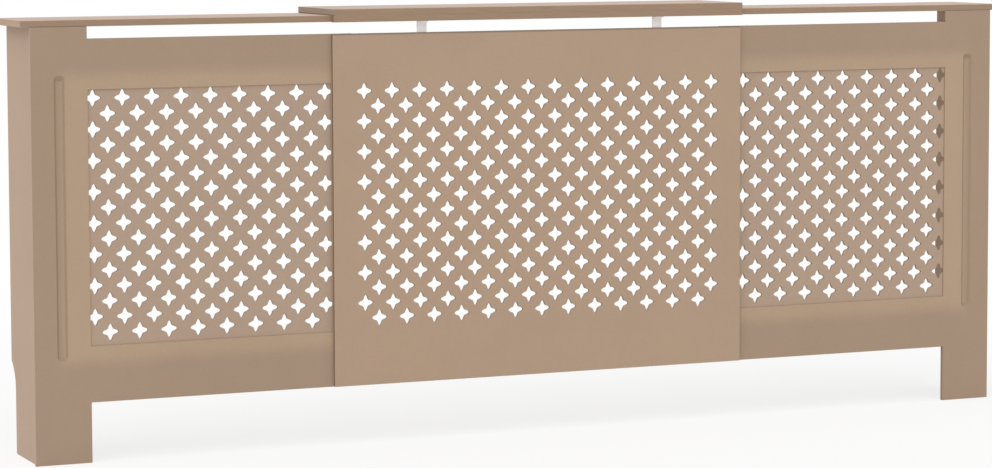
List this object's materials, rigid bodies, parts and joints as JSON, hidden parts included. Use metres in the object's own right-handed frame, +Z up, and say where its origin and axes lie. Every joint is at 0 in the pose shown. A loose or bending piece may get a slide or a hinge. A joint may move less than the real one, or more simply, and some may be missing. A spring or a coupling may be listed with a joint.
{
  "type": "extendable radiator cover",
  "caption": "Raw MDF radiator cover whose star-pierced centre panel and shelf overlap two wings that slide sideways, with pilaster legs, end panels and a vent slot.",
  "frame": {"origin": "on the floor, midway across the width and the depth of the cover drawn out to its full width", "axes": "+X to the right seen from the room, +Y towards the wall, +Z up"},
  "size_m": [2.041, 0.194, 0.8189],
  "materials": {
    "raw_mdf": "raw sanded MDF, matt",
    "softwood": "planed softwood",
    "painted_steel": "light grey, satin",
    "zinc_steel": "zinc plated"
  },
  "bodies": {
    "centre": {"centre_panel": "raw_mdf", "centre_shelf": "raw_mdf", "centre_lip": "raw_mdf", "bracket_left": "painted_steel", "bracket_right": "painted_steel", "upper_guide": "softwood", "lower_guide": "softwood", "upper_spacer": "softwood", "lower_spacer": "softwood"},
    "left_wing": {"left_pilaster": "raw_mdf", "left_top_rail": "raw_mdf", "left_bottom_rail": "raw_mdf", "left_stile": "raw_mdf", "left_lattice": "raw_mdf", "left_end_panel": "raw_mdf", "left_shelf": "raw_mdf", "left_corner_batten": "softwood", "left_shelf_cleat": "softwood", "left_wall_brackets": "zinc_steel"},
    "right_wing": {"right_pilaster": "raw_mdf", "right_top_rail": "raw_mdf", "right_bottom_rail": "raw_mdf", "right_stile": "raw_mdf", "right_lattice": "raw_mdf", "right_end_panel": "raw_mdf", "right_shelf": "raw_mdf", "right_corner_batten": "softwood", "right_shelf_cleat": "softwood", "right_wall_brackets": "zinc_steel"}
  },
  "joints": [
    {"name": "left_wing_slide", "type": "slide", "parent": "centre", "child": "left_wing", "axis": [1, 0, 0], "range_m": [0, 0.35]},
    {"name": "right_wing_slide", "type": "slide", "parent": "centre", "child": "right_wing", "axis": [-1, 0, 0], "range_m": [0, 0.35]}
  ]
}
